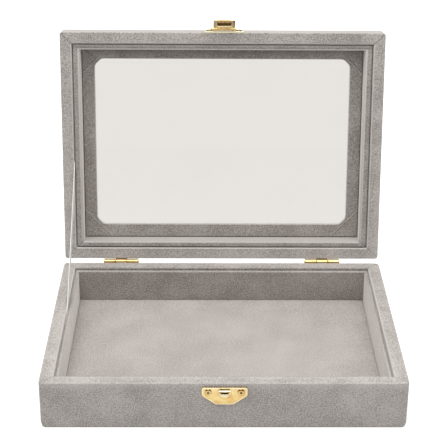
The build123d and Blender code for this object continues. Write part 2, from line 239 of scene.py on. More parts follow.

# %% [markdown]
# ## Brass plate
#
# We take the hardware to be pressed from thin steel strip and plated with brass, which is common
# on such boxes. It is a smooth metal: metallic 1, a pale yellow colour and a low roughness. The
# plating is uneven, so the yellow drifts towards orange in places. Faint smears are slow changes
# of roughness, and a slight waviness bends the reflections a little. In the photograph the
# punched edges are paler than the flats, and holes and corners darker. Both are painted into the
# colour with one mark: above zero a painted highlight, below zero painted shade and dark
# reflection.

# %% Brass material
def brass(name, clean, worn, roughness):
    """Brass-plated steel: bright, with faint smears and a slight waviness."""
    material, place = start_material(name)
    smears = noise(material, place, 5.0, 3.0, roughness=0.6)
    drift = add_node(material, "ShaderNodeMapRange",
                     {"Value": smears, "From Min": 0.36, "From Max": 0.64})
    gloss = add_node(material, "ShaderNodeMapRange",
                     {"Value": smears, "From Min": 0.3, "From Max": 0.7,
                      "To Min": roughness, "To Max": roughness + 0.1})
    plated = mix(material, drift.outputs[0], clean, worn)
    skin = add_node(material, "ShaderNodeBump",
                    {"Height": noise(material, place, 1.6, 1.0), "Strength": 0.05,
                     "Distance": 0.1 * MM})
    # painted highlight and painted shade: the mark mixes in a pale and a dark colour
    shader = add_node(material, "ShaderNodeBsdfPrincipled",
                      {"Base Color": tint_marks(material, "edge", plated, "#FFF6D2", "#4A3216"),
                       "Metallic": 1.0, "Roughness": gloss.outputs[0],
                       "Normal": skin.outputs[0]})
    return end_material(material, shader)


brass_plate = brass("brass_plated_steel", "#EFD494", "#DFB570", 0.1)
pin_brass = brass("brass_pin_wire", "#D8B871", "#A88648", 0.25)
print("metals:", brass_plate.name, pin_brass.name)

# %% [markdown]
# ## Glass
#
# The window is ordinary float glass, 2 mm thick, which is made flat by floating on molten tin. It
# passes almost all light, and the eye sees it only by a hint of warm grey from dust and from its
# two surfaces. A transmissive shader does the first, and a broad faint noise the second.

# %% Glass material
glass, place = start_material("float_glass")
dust = mix(glass, noise(glass, place, 30, 2.0), "#E9E5E1", "#E5E1DD")
end_material(glass, add_node(glass, "ShaderNodeBsdfPrincipled",
                             {"Base Color": dust, "Roughness": 0.0, "IOR": 1.5,
                              "Transmission Weight": 1.0}))
print("window:", glass.name)

# %% [markdown]
# ## Satin ribbon
#
# Satin is woven so that long smooth threads lie on top. They make it shiny, and a fine weave of
# ribs crosses it. The ribs have to follow the strip wherever it goes, so they read its UV map.

# %% Ribbon material
ribbon_satin, place = start_material("satin_ribbon")
ribs = add_node(ribbon_satin, "ShaderNodeTexWave",
                {"Vector": add_node(ribbon_satin, "ShaderNodeUVMap", {}).outputs[0],
                 "Scale": 90.0, "Distortion": 0.4, "Detail": 1.0},
                bands_direction="Y").outputs["Fac"]
weave = add_node(ribbon_satin, "ShaderNodeBump",
                 {"Height": ribs, "Strength": 0.3, "Distance": 0.08 * MM})
end_material(ribbon_satin, add_node(
    ribbon_satin, "ShaderNodeBsdfPrincipled",
    {"Base Color": mix(ribbon_satin, ribs, "#F3F2EE", "#FDFCFA"), "Roughness": 0.42,
     "Sheen Weight": 0.3, "Sheen Roughness": 0.3, "Normal": weave.outputs[0]}))
print("ribbon:", ribbon_satin.name)

# %% [markdown]
# ## Board and backing paper
#
# Under the tray is a plain grey board, and below it a black flocked paper, the usual cover for
# the underside of such a box. Both are pressed or glued from short fibres, which the eye sees as
# flecks on a matt ground, so one function makes both.

# %% Board and paper materials
def pressed_fibre(name, dark, light, fibre_mm, roughness):
    """Pressed fibre, as in grey board or flocked paper: matt, with short flecks."""
    material, place = start_material(name)
    flecks = noise(material, place, fibre_mm, 4.0, roughness=0.7)
    grain = add_node(material, "ShaderNodeBump",
                     {"Height": flecks, "Strength": 0.4, "Distance": 0.1 * MM})
    return end_material(material, add_node(
        material, "ShaderNodeBsdfPrincipled",
        {"Base Color": mix(material, flecks, dark, light), "Roughness": roughness,
         "Normal": grain.outputs[0]}))


grey_board = pressed_fibre("grey_fibreboard", "#857D72", "#A1998C", 1.2, 0.85)
flock_paper = pressed_fibre("flocked_backing_paper", "#2B2A2B", "#403E3F", 0.6, 0.95)
print("board and paper:", grey_board.name, flock_paper.name)

# %% [markdown]
# ## Finishing a piece
#
# Every piece ends the same way. Doubled vertices are merged and the faces turned outward, the
# piece is carried to its place and scaled to metres, and the result becomes a mesh whose object
# stays at the origin. Edges sharper than a limit are marked so that they stay crisp. A Weighted
# Normal modifier lets the large flats keep flat shading beside their small rounded edges.

# %% Finish helper
weld = 0.0005


def on_sides(pattern):
    """The names of the four CAD pieces of one kind."""
    return [pattern.format(side) for side in ("front", "back", "left", "right")]


def finish(bm, name, material, body, stands_for=(), place=None, crease=35, even=True):
    """Turns a bmesh drawn in millimetres into a piece that rides on a body."""
    bmesh.ops.remove_doubles(bm, verts=bm.verts, dist=weld)
    if place is not None:
        bmesh.ops.transform(bm, matrix=place, verts=bm.verts)
    bmesh.ops.scale(bm, vec=(MM, MM, MM), verts=bm.verts)
    bmesh.ops.recalc_face_normals(bm, faces=bm.faces)
    for face in bm.faces:
        face.smooth = True
    for edge in bm.edges:
        edge.smooth = edge.calc_face_angle(0) < math.radians(crease)
    mesh = bpy.data.meshes.new(name)
    bm.to_mesh(mesh)
    bm.free()
    piece = bpy.data.objects.new(name, mesh)
    bpy.context.scene.collection.objects.link(piece)
    mesh.materials.append(material)
    if even:
        piece.modifiers.new("even shading", "WEIGHTED_NORMAL").keep_sharp = True
    if stands_for:
        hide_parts(*stands_for)
    if body:
        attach(piece, body)
    spans = [[v.co[i] for v in mesh.vertices] for i in range(3)]
    size = [round((max(span) - min(span)) / MM, 1) for span in spans]
    print(f"{name}: {len(mesh.polygons)} faces, {size} mm")
    return piece


# %% [markdown]
# ## Sections that run round four mitres
#
# On the real box four boards meet at mitres, each covered with velvet that is folded over the
# rim. The seams between the covers run from the inner to the outer corners. We could make four
# separate boards, but the outer corner is one soft turn, so a single ring is simpler: we draw the
# board's cross-section, round its corners, and run it round the four mitres. The same two
# functions make the lid, the lining and the lips. A third paints a mark where a test says so.

# %% Section and ring helpers
def mark_fold(bm, verts, tip, radius, strength):
    """Paints light or shade on a rounded corner's middle, fading to nothing where the flats begin."""
    painted_shading = bm.verts.layers.float["painted_shading"]
    for vert in verts:
        share = 1.7 * (1 - (vert.co - tip).length / radius)
        vert[painted_shading] = strength * max(0.0, min(1.0, share))


def bevel(bm, geom, offset, segments, affect="EDGES"):
    """Rounds edges, or the corners of a flat outline, and gives the vertices it made."""
    return bmesh.ops.bevel(bm, geom=geom, offset=offset, offset_type="OFFSET",
                           segments=segments, profile=0.5, affect=affect, material=-1)["verts"]


def section(corners):
    """A cross-section on the XZ plane from (inward, up, radius, painted light or shade) corners."""
    bm = bmesh.new()
    bm.verts.layers.float.new("painted_shading")
    verts = [bm.verts.new((inward, 0, up)) for inward, up, radius, strength in corners]
    bm.faces.new(verts)
    for vert, (inward, up, radius, strength) in zip(verts, corners):
        if radius:
            made = bevel(bm, [vert], radius, 5, "VERTICES")
            mark_fold(bm, made, Vector((inward, 0, up)), radius, strength)
    return bm


def run_round(bm, half_x, half_y, end_share=1.0):
    """Runs a section round a rectangle, turning at four mitres."""
    bmesh.ops.delete(bm, geom=bm.faces[:], context="FACES_ONLY")
    loop = bm.edges[:]
    for vert in bm.verts:
        vert.co = (-half_x + vert.co.x, -half_y + vert.co.x * end_share, vert.co.z)
    for sign_x, sign_y in ((1, -1), (1, 1), (-1, 1), (-1, -1)):
        made = bmesh.ops.extrude_edge_only(bm, edges=loop)["geom"]
        loop = [g for g in made if isinstance(g, bmesh.types.BMEdge) and g.is_boundary]
        for vert in [g for g in made if isinstance(g, bmesh.types.BMVert)]:
            vert.co = (sign_x * abs(vert.co.x), sign_y * abs(vert.co.y), vert.co.z)
    bmesh.ops.remove_doubles(bm, verts=bm.verts, dist=weld)


def paint(bm, mark, value, where):
    """Writes a mark on every vertex whose x, y and z pass a test."""
    layer = bm.verts.layers.float[mark]
    for vert in bm.verts:
        if where(*vert.co):
            vert[layer] = value


# %% [markdown]
# ## Corners
#
# A ring made that way has square corners and no seams. Cuts add vertices beside each outside
# corner, and moving these onto an arc rounds it. The two bottom edges of the sides are rounded in
# the same way. A last function moves the outer face of one side in or out.

# %% Cutting and rounding helpers
def cut(bm, point, normal, near=None, reach=0.0):
    """Cuts the mesh along a plane, everywhere or only within reach of a point."""
    faces = [f for f in bm.faces
             if near is None or min((v.co - Vector(near)).length for v in f.verts) < reach]
    edges = {e for f in faces for e in f.edges}
    verts = {v for f in faces for v in f.verts}
    bmesh.ops.bisect_plane(bm, geom=[*faces, *edges, *verts], dist=0.0001,
                           plane_co=point, plane_no=normal)


def cut_corners(bm, half_x, half_y, radius, steps=4):
    """Cuts upright slices beside each outside corner, for the corner to be rounded."""
    for step in range(1, steps + 1):
        inset = radius * step / steps
        for sign in (-1, 1):
            cut(bm, (sign * (half_x - inset), 0, 0), (1, 0, 0))
            cut(bm, (0, sign * (half_y - inset), 0), (0, 1, 0))


def round_corners(bm, half_x, half_y, radius):
    """Moves the square corner onto a round one, ring by ring, so that nothing folds over."""
    for vert in bm.verts:
        out_x = abs(vert.co.x) - (half_x - radius)
        out_y = abs(vert.co.y) - (half_y - radius)
        if out_x > 0 and out_y > 0:
            share = max(out_x, out_y) / math.hypot(out_x, out_y)
            vert.co.x = math.copysign(half_x - radius + out_x * share, vert.co.x)
            vert.co.y = math.copysign(half_y - radius + out_y * share, vert.co.y)


def round_bottom_sides(bm, half_x, level, radius):
    """Rounds the bottom edges of the two side boards in the same way."""
    for vert in bm.verts:
        out_x = abs(vert.co.x) - (half_x - radius)
        out_z = level + radius - vert.co.z
        if out_x > 0 and out_z > 0:
            share = max(out_x, out_z) / math.hypot(out_x, out_z)
            vert.co.x = math.copysign(half_x - radius + out_x * share, vert.co.x)
            vert.co.z = level + radius - out_z * share


def widen(bm, axis, side, inner, outer, by):
    """Moves the outer face of one side; what lies inside follows in proportion."""
    for vert in bm.verts:
        share = (side * vert.co[axis] - inner) / (outer - inner)
        vert.co[axis] += side * by * min(1.0, max(0.0, share))


# %% [markdown]
# ## Seams
#
# Where two covers meet at a mitre there is a seam. Two cuts mark it, one on each side, and the
# vertices between them are pressed in by about a quarter of a millimetre and painted dark as
# shade, so that the seam reads as a valley. The flat of the rim gets a little painted light.

# %% Seam helpers
def brush_flat(bm, level, strength):
    """Paints the flat at a level a little lighter, as painted light, where no other mark is painted yet."""
    painted_shading = bm.verts.layers.float["painted_shading"]
    for vert in bm.verts:
        if abs(vert.co.z - level) < 0.01 and abs(vert[painted_shading]) < strength:
            vert[painted_shading] = strength


def press_mitres(bm, half_x, half_y, level, depth, toward, end_share=1.0, side=0.45):
    """Cuts a narrow valley along each mitre seam of a rim that looks toward a direction."""
    for sign_x in (-1, 1):
        for sign_y in (-1, 1):
            point = Vector((sign_x * half_x, sign_y * half_y, 0))
            along = Vector((sign_x, sign_y * end_share, 0)).normalized()
            across = Vector((-along.y, along.x, 0))
            middle = Vector((point.x, point.y, level))
            for shift in (-side, side):
                cut(bm, point + across * shift, across, near=middle, reach=40)
    bm.normal_update()
    toward = Vector(toward)
    seam_reach = 15
    painted_shading = bm.verts.layers.float["painted_shading"]
    for vert in bm.verts:
        out_x, out_y = abs(vert.co.x) - half_x, abs(vert.co.y) - half_y
        near = abs(out_x) < seam_reach and abs(out_y) < seam_reach
        on_seam = abs(out_x * end_share - out_y) < 0.002
        facing = vert.normal.dot(toward)
        if near and on_seam and facing > 0.2 and abs(vert.co.z - level) < 2:
            vert.co -= toward * depth * facing
            # painted shade in the seam's valley
            vert[painted_shading] = -0.5


# %% [markdown]
# ## The wrapped frame of the tray
#
# The velvet is folded over the boards from the rim down to the underside, where it is tucked in
# and ends at a small welt round the backing paper. As in the photograph, the outside is painted
# lighter, most of all just under the rim, the back board's inner edge gets painted shade, and the
# front board's inner edge a painted highlight. The sides and the back stand 0.45 mm further out
# than the CAD boards, which brings the outline onto the photograph's.

# %% Tray frame
welt, tuck, shade_top, lighter_from, pile = 0.05, 2.7, 1.4, 24.5, 0.45
# painted shadow along the welt, painted highlights on the rim's two rounded edges
bm = section([(0, welt, 0.5, -1), (tuck, welt, 0, 0), (tuck, foot, 0, 0), (board, foot, 0, 0),
              (board, tray_top, 0.9, 1), (0, tray_top, 0.8, 0.5), (0, shade_top, 0, 0)])
run_round(bm, half_width, half_depth)
cut_corners(bm, half_width, half_depth, corner)
for step in (1, 2, 3, 4):
    cut(bm, (0, 0, welt + corner * step / 4), (0, 0, 1))
bmesh.ops.recalc_face_normals(bm, faces=bm.faces)
press_mitres(bm, half_width, half_depth, tray_top, 0.25, (0, 0, 1))
# painted light on the rim's flat
brush_flat(bm, tray_top, 0.05)
round_bottom_sides(bm, half_width, welt, corner)
round_corners(bm, half_width, half_depth, corner)
cut(bm, (0, 0, lighter_from), (0, 0, 1))
# painted light on the outside walls, stronger just under the rim
for value, lowest in ((0.12, 1.3), (0.45, lighter_from + 0.5)):
    paint(bm, "painted_shading", value, lambda x, y, z: lowest < z < tray_top - 0.75 and (
        abs(x) > half_width - board + 1 or abs(y) > half_depth - board + 1))
inner_y = half_depth - board
# painted shade on the back board's inner edge
for value, top in ((-0.05, tray_top + 1), (-0.35, tray_top - 0.1)):
    paint(bm, "painted_shading", value,
          lambda x, y, z: inner_y - 0.01 < y < inner_y + 0.95 and rim - 1 < z < top)
# painted highlight on the front board's inner edge at the rim
paint(bm, "painted_shading", 0.35,
      lambda x, y, z: -inner_y - 0.95 < y < -inner_y + 0.01 and abs(z - tray_top) < 0.05)
for axis, side, outer in ((0, -1, half_width), (0, 1, half_width), (1, 1, half_depth)):
    widen(bm, axis, side, outer - board, outer, pile)
tray_frame = finish(bm, "tray_frame", tray_velvet, "base", on_sides("base_{}_rail"))

# %% [markdown]
# ## Tray lining
#
# Inside the frame stand four strips of velvet-wrapped card, a little lower than the rim and
# with a groove behind them. They are one more section run round the mitres. Their top gets a
# painted highlight on its inner edge and painted shade on the edge by the groove, both weaker
# on the back strip.

# %% Tray lining
pad_foot, liner_thick, liner_top = 3.5, 1.8, 27.3
lining_inner = lining_edge + liner_thick
# painted highlight on the inner top edge, painted shade on the edge by the groove
bm = section([(0, pad_foot, 0, 0), (liner_thick, pad_foot, 0, 0),
              (liner_thick, liner_top, 0.9, 0.8), (0, liner_top, 0.4, -0.4)])
run_round(bm, half_width - lining_edge, half_depth - lining_edge)
painted_shading = bm.verts.layers.float["painted_shading"]
# the back strip's painted light and shade are weaker
for vert in bm.verts:
    if vert.co.y > 60:
        vert[painted_shading] *= 0.35
tray_lining = finish(bm, "tray_lining", shaded_lining_velvet, "base", on_sides("base_{}_liner"))

# %% [markdown]
# ## Floor pad
#
# On the floor lies a pad. We take it to be card with a thin layer of wadding, so it is almost
# flat, crowned a little, with a soft rolled edge. It has no wrinkles in the photograph, so it
# needs no cloth simulation. Insetting its top face again and again, each time a little higher,
# gives the roll, and a fine grid inside it takes the crown and the dimples.

# %% Floor pad
def slab(width, depth, bottom, thick):
    """A flat block that lies on a level."""
    bm = bmesh.new()
    bmesh.ops.create_cube(bm, size=1)
    bmesh.ops.scale(bm, vec=(width, depth, thick), verts=bm.verts)
    bmesh.ops.translate(bm, vec=(0, 0, bottom + thick / 2), verts=bm.verts)
    return bm


pad_gap, pad_card, crown, dimple = 0.2, 2.8, 0.25, 0.06
pad_x, pad_y = half_width - lining_inner - pad_gap, half_depth - lining_inner - pad_gap
bm = slab(2 * pad_x, 2 * pad_y, pad_foot, pad_card)
top = max(bm.faces, key=lambda f: f.calc_center_median().z)
for inset, rise in ((0.1, 0.42), (0.25, 0.36), (0.4, 0.24), (0.6, 0.12), (2.4, 0.06)):
    bmesh.ops.inset_region(bm, faces=[top], thickness=inset, depth=rise, use_even_offset=True)
bmesh.ops.subdivide_edges(bm, edges=top.edges[:], cuts=34, use_grid_fill=True)
for vert in bm.verts:
    if vert.co.z > 7.3:
        share_x = 1 - (vert.co.x / pad_x) ** 2
        share_y = 1 - (vert.co.y / pad_y) ** 2
        ripple = math.sin(vert.co.x * 0.11 + 0.7) * math.sin(vert.co.y * 0.13 + 0.4)
        vert.co.z += crown * share_x * share_y + dimple * ripple * share_x * share_y
floor_pad = finish(bm, "velvet_floor_pad", lit_pad_velvet, "base", ["floor_pad"], crease=60)

# %% [markdown]
# ## Cover of the underside
#
# The box stands on a sheet of flocked paper, glued flat under the boards and 3 mm short of them
# on each side. A slab with rounded corners is enough, its lower edge softened a little.

# %% Cover of the underside
paper_inset, paper_corner = 3, 2.0
bm = slab(2 * (half_width - paper_inset), 2 * (half_depth - paper_inset), 0, foot)
uprights = [e for e in bm.edges if abs(e.verts[0].co.z - e.verts[1].co.z) > 0.1]
bevel(bm, uprights, paper_corner, 4)
bottom_edges = [e for e in bm.edges if all(v.co.z < 0.1 for v in e.verts)]
bevel(bm, bottom_edges, 0.12, 2)
underside = finish(bm, "underside_paper", flock_paper, "base", ["underside_sheet"])

# %% [markdown]
# ## Loops for the window
#
# The window is a rectangle with its corners cut off, in the lid's top and again in the surround
# under the glass. Bevelling the four corners once with one segment cuts them, and a second,
# rounded bevel softens the eight corners that this leaves. A loop of edges is all we keep, since
# the faces round it are filled in later.

# %% Window helpers
window_shift = -0.85


def window_loop(bm, half_x, half_y, leg, level):
    """An eight-sided loop of edges: a rectangle with its corners cut off."""
    corners = [bm.verts.new((x * half_x, y * half_y + window_shift, level))
               for x, y in ((-1, -1), (1, -1), (1, 1), (-1, 1))]
    bm.faces.new(corners)
    eight = bevel(bm, corners, leg, 1, "VERTICES")
    soft = bevel(bm, eight, 1.5, 4, "VERTICES")
    face = next(f for f in soft[0].link_faces if len(f.verts) == len(soft))
    edges = face.edges[:]
    bmesh.ops.delete(bm, geom=[face], context="FACES_ONLY")
    return edges


def drop_loop(bm, edges, change):
    """Extrudes a loop of edges straight up or down, and gives the new loop."""
    made = bmesh.ops.extrude_edge_only(bm, edges=edges)["geom"]
    moved = [g for g in made if isinstance(g, bmesh.types.BMVert)]
    bmesh.ops.translate(bm, vec=(0, 0, change), verts=moved)
    return [g for g in made if isinstance(g, bmesh.types.BMEdge) and g.is_boundary]


# %% [markdown]
# ## The lid's cover
#
# The lid is a frame of boards under a flat top with a window in it, all wrapped in one velvet.
# The section is an L: up the outside, across the top, down the window side and back round the
# rim. It runs round the mitres as before, but stops short of the window, and there the wall of
# the section is taken away. The rim is trimmed by 0.6 mm to make room for the tray's pile, so
# the two rims don't cut into each other when the lid is closed.

# %% Lid cover
window_x, window_y, window_cut = 79.75, 53.25, 4.0
step, step_cut = 1.2, 4.7
inner = board + step
lid_corner, lid_rim = 1.6, 0.6
# painted highlights on the rounded top edge and on the rim's inner edge
bm = section([(0, lid_rim, 0.5, 0), (0, lid_depth, 3.2, 0.3), (inner, lid_depth, 0, 0),
              (inner, glass_top, 0, 0), (board, glass_top, 0, 0), (board, lid_rim, 0.9, 1)])
run_round(bm, half_width, half_depth)
# painted light on the outside walls, stronger on the front one
for value, limit in ((0.12, half_depth + 1), (0.5, -half_depth + 0.05)):
    paint(bm, "painted_shading", value,
          lambda x, y, z: lid_rim + 0.4 < z < lid_depth - 3 and y < limit and (
              abs(x) > half_width - 0.05 or abs(y) > half_depth - 0.05))
walls = [f for f in bm.faces if min(v.co.z for v in f.verts) > glass_top - 0.1 and all(
    abs(abs(v.co.x) - (half_width - inner)) < 0.01
    or abs(abs(v.co.y) - (half_depth - inner)) < 0.01 for v in f.verts)]
bmesh.ops.delete(bm, geom=walls, context="FACES")
bmesh.ops.recalc_face_normals(bm, faces=bm.faces)
cut_corners(bm, half_width, half_depth, lid_corner)
press_mitres(bm, half_width, half_depth, lid_rim, 0.25, (0, 0, -1))
round_corners(bm, half_width, half_depth, lid_corner)
# painted light on the back board near the rim
paint(bm, "painted_shading", 0.25, lambda x, y, z: y > half_depth - board + 0.95 and z < 1.5)
widen(bm, 1, -1, half_depth - board, half_depth, -0.2)
widen(bm, 1, 1, half_depth - board - 0.9, half_depth - board, 0.3)

# %% [markdown]
# ## Closing the lid's top round the window
#
# Now the top and the ledge under it are open rings with a window loop inside each. A triangle
# fill joins ring and loop whatever their shapes, and because both lie flat, its triangles don't
# show. The window's upper edge is bevelled, since velvet can't turn a sharp corner, and the bevel
# gets a painted highlight.

# %% Window of the lid
upper = window_loop(bm, window_x + step, window_y + step, step_cut, lid_depth)
window_edge = upper[:]
lower = drop_loop(bm, upper, glass_top - lid_depth)
open_edges = [e for e in bm.edges if e.is_boundary and e not in lower and e not in upper]
for level, loop in ((lid_depth, upper), (glass_top, lower)):
    rect = [e for e in open_edges if abs(e.verts[0].co.z - level) < 0.01]
    bmesh.ops.triangle_fill(bm, edges=rect + loop, use_beauty=True)
bmesh.ops.recalc_face_normals(bm, faces=bm.faces)
bevel(bm, window_edge, 0.8, 4)
# painted highlight on the window's bevelled upper edge
paint(bm, "painted_shading", 0.8,
      lambda x, y, z: lid_depth - 0.79 < z < lid_depth - 0.01 and abs(x) < window_x + step + 1)
lid_cover = finish(bm, "lid_cover", lid_velvet, "lid",
                   [*on_sides("lid_{}_rail"), "lid_top_frame"], place=in_lid)

# %% [markdown]
# ## Lips of the lid
#
# Inside the lid a padded lip runs along each board and frames a card surround. It is a velvet
# roll, with a painted highlight on its crown and its inner side, and painted shade where it meets
# the board. The front lip gets a strong painted highlight, with a band of painted shade along its
# outer edge. The front and rear lips are a little narrower than the side ones, which one number,
# the end share, takes care of.

# %% Lips of the lid
lip_face, side_lip, end_lip = 0.9, 4.3, 3.2
lip_x, lip_y = half_width - lining_edge, half_depth - lining_edge
lip_share = end_lip / side_lip
# painted highlight on the crown and inner side, painted shade where the lip meets the board
bm = section([(0, card_face, 0, 0), (side_lip, card_face, 0.6, 0),
              (side_lip, lip_face, 1.6, 0.7), (0, lip_face, 0.5, -0.7)])
paint(bm, "painted_shading", 0.6, lambda x, y, z: x > side_lip - 0.05 and z < card_face - 0.5)
run_round(bm, lip_x, lip_y, end_share=lip_share)
bmesh.ops.recalc_face_normals(bm, faces=bm.faces)
press_mitres(bm, lip_x, lip_y, lip_face, 0.2, (0, 0, -1), end_share=lip_share)
# on the front lip: a strong painted highlight, and painted shade along its outer edge
for value, depth in ((1.0, 5), (-0.4, 2.2)):
    paint(bm, "painted_shading", value,
          lambda x, y, z: y + half_depth - lining_edge < depth
          and abs(x) < half_width - lining_edge - 3 and z < card_face - 0.5)
widen(bm, 1, 1, half_depth - lining_edge - end_lip, half_depth - lining_edge, 0.3)
lid_lips = finish(bm, "lid_lips", shaded_lip_velvet, "lid", on_sides("lid_lip_{}"), place=in_lid)

# %% [markdown]
# ## Surround of the window
#
# The surround frames the glass: card wrapped in the same velvet, with the same cut corners. Its
# cover is pieced at the corners, and each seam runs parallel to the cut, 2.1 mm outside it. As
# in the lid's top, a triangle fill joins its outline to the window loop. Cuts then add vertices
# at the seams, where the cloth steps by 0.2 mm, and beside the lips, where it gets painted shade.
# The window's bevelled edge gets a painted highlight.

# %% Surround of the window
bm = bmesh.new()
painted_shading = bm.verts.layers.float.new("painted_shading")
outer = bmesh.ops.create_grid(bm, x_segments=1, y_segments=1, size=1)["verts"]
bmesh.ops.scale(bm, vec=(half_width - board - 0.5, half_depth - board - 0.5, 1), verts=outer)
bmesh.ops.translate(bm, vec=(0, 0, card_face), verts=outer)
bmesh.ops.delete(bm, geom=bm.faces[:], context="FACES_ONLY")
rect = bm.edges[:]
hole = window_loop(bm, window_x, window_y, window_cut, card_face)
window_edge = hole[:]
back_rect = drop_loop(bm, rect, card_top - card_face)
back_hole = drop_loop(bm, hole, card_top - card_face)
bmesh.ops.triangle_fill(bm, edges=rect + hole, use_beauty=True)
bmesh.ops.triangle_fill(bm, edges=back_rect + back_hole, use_beauty=True)
bevel(bm, window_edge, 0.45, 3)
# painted highlight on the window's bevelled edge
paint(bm, "painted_shading", 1.0, lambda x, y, z: card_face + 0.01 < z < card_face + 0.44)

# %% [markdown]
# ## Seams of the surround
#
# We measure how far each vertex of the front face lies outside the nearest seam. Just inside it
# the cloth is lifted and painted light, and just outside it drops and is painted dark as shade.

# %% Seams of the surround
seam = window_x + window_y - window_cut + 2.1 * math.sqrt(2)
for sign_x in (-1, 1):
    for sign_y in (-1, 1):
        across = Vector((sign_x, sign_y, 0)).normalized()
        for shift in (-0.6, -0.3, 0, 0.3, 0.6):
            point = across * (seam / math.sqrt(2) + shift) + Vector((0, window_shift, 0))
            cut(bm, point, across)
shade_x = half_width - lining_edge - side_lip
shade_y = half_depth - lining_edge - end_lip
for sign in (-1, 1):
    for shift in (0, 0.9):
        cut(bm, (sign * (shade_x - shift), 0, 0), (1, 0, 0))
        cut(bm, (0, sign * (shade_y - shift), 0), (0, 1, 0))
bmesh.ops.recalc_face_normals(bm, faces=bm.faces)
for vert in bm.verts:
    x, y, z = vert.co
    run = (abs(x) + abs(y - window_shift) - seam) / math.sqrt(2)
    if abs(z - card_face) < 0.01:
        # painted shade beside the lips, and weaker painted shade in a band inside the front lip
        if abs(x) > shade_x - 0.1 or abs(y) > shade_y - 0.1:
            vert[painted_shading] = -0.9
        elif -shade_y - 0.1 < y < -shade_y + 1:
            vert[painted_shading] = -0.4
        # painted highlight on the lifted side of each seam, painted shade on the dropped side
        elif abs(abs(run) - 0.3) < 0.01:
            vert[painted_shading] = 0.7 if run < 0 else -0.6
            vert.co.z += 0.1 if run > 0 else -0.1
surround = finish(bm, "window_surround_cover", shaded_lining_velvet, "lid", ["window_surround"],
                  place=in_lid)

# %% [markdown]
# ## Stamping plates
#
# The latch has a plate on the tray with a hook, and a plate on the lid with the flap's joint.
# Both are half octagons stamped from strip, so the outline is extruded and its front edge
# rounded, as the punch leaves it. The rounded edge gets a painted highlight, and the flat face of
# the catch plate gets a painted pale border and painted shade that darkens slowly towards its
# foot, as in the photograph.

# %% Stamped plate helpers
def flat_face(bm, level):
    """The largest face that lies flat on a level."""
    flat = (f for f in bm.faces if all(abs(v.co.z - level) < 1e-4 for v in f.verts))
    return max(flat, key=lambda f: f.calc_area())


def raise_outline(bm, points, base, height, edge, corners=0.0, edge_shading=0.8):
    """A flat outline with rounded corners, raised to a plate whose front edge is rounded."""
    metal_shading = bm.verts.layers.float.get("edge") or bm.verts.layers.float.new("edge")
    verts = [bm.verts.new((x, y, base)) for x, y in points]
    face = bm.faces.new(verts)
    if corners:
        bevel(bm, verts, corners, 3, "VERTICES")
        face = max((f for f in bm.faces if all(abs(v.co.z - base) < 1e-4 for v in f.verts)),
                   key=lambda f: len(f.verts))
    made = bmesh.ops.extrude_face_region(bm, geom=[face], use_keep_orig=True)["geom"]
    top = [g for g in made if isinstance(g, bmesh.types.BMVert)]
    bmesh.ops.translate(bm, vec=(0, 0, height), verts=top)
    rim_edges = [g for g in made if isinstance(g, bmesh.types.BMEdge)]
    if edge:
        # the rounded edge gets painted light, or painted shade where the value is below zero
        for vert in bevel(bm, rim_edges, edge, 4):
            vert[metal_shading] = edge_shading * (vert.co.z < base + height - 0.01)


def rub_border(bm, level, width, edge_shading, shade):
    """Paints a pale border round a flat face as a highlight, and shade on the face from top to foot."""
    metal_shading = bm.verts.layers.float["edge"]
    face = flat_face(bm, level)
    for vert in face.verts:
        vert[metal_shading] = edge_shading
    bmesh.ops.inset_region(bm, faces=[face], thickness=width, use_even_offset=True)
    near = min(abs(v.co.y) for v in face.verts)
    for vert in face.verts:
        vert[metal_shading] = shade[0] + (shade[1] - shade[0]) * (abs(vert.co.y) - near) / 9


# %% [markdown]
# ## Punching holes and rolling eyes
#
# A hole is made by opening the flat face, filling it again round the hole's outline, and pushing
# the outline's edges in. An eye is the end of the strip rolled round a pin. We draw the strip's
# end as one small face and spin it almost once round the pin's axis.

# %% Hole and roll helpers
def sink_hole(bm, points, level, depth, edge):
    """A blind hole with rounded lips in the flat face that tops a raised outline."""
    face = flat_face(bm, level)
    rim_edges = face.edges[:]
    bmesh.ops.delete(bm, geom=[face], context="FACES_ONLY")
    verts = [bm.verts.new((x, y, level)) for x, y in points]
    hole = [bm.edges.new((a, b)) for a, b in zip(verts, verts[1:] + verts[:1])]
    bmesh.ops.triangle_fill(bm, edges=rim_edges + hole, use_beauty=True)
    floor_edges = drop_loop(bm, hole, -depth)
    bmesh.ops.edgeloop_fill(bm, edges=floor_edges)
    metal_shading = bm.verts.layers.float["edge"]
    # the hole's floor gets painted shade
    for vert in {v for e in floor_edges for v in e.verts}:
        vert[metal_shading] = -1
    bmesh.ops.recalc_face_normals(bm, faces=bm.faces)
    bevel(bm, hole, edge, 3)


eye_radius, eye_strip, roll_steps = 0.9, 0.35, 28
roll_turn = math.radians(340)


def roll_eye(bm, start, end, along, out):
    """Strip rolled almost once round an axis along x, from the side of the plate."""
    angle = math.radians(-90)
    ring = [bm.verts.new((x, along + r * math.cos(angle), out + r * math.sin(angle)))
            for x, r in ((start, eye_radius - eye_strip), (end, eye_radius - eye_strip),
                         (end, eye_radius), (start, eye_radius))]
    face = bm.faces.new(ring)
    bmesh.ops.spin(bm, geom=[face, *face.edges, *face.verts], cent=(0, along, out),
                   axis=(1, 0, 0), angle=roll_turn, steps=roll_steps, use_merge=False)


# %% [markdown]
# ## Outlines of the pressings
#
# Each pressed shape starts as a list of points that runs once round it, centred on the middle
# line of its plate. The plates are half octagons, the hook is a tongue, the slot in it sags like
# a smile, and rectangles do for the rest.

# %% Outlines of the pressings
plate_half, foot_half = 12.4, 4.8


def bar_points(half, low, high):
    """A rectangle centred on the plate's middle line."""
    return [(-half, low), (half, low), (half, high), (-half, high)]


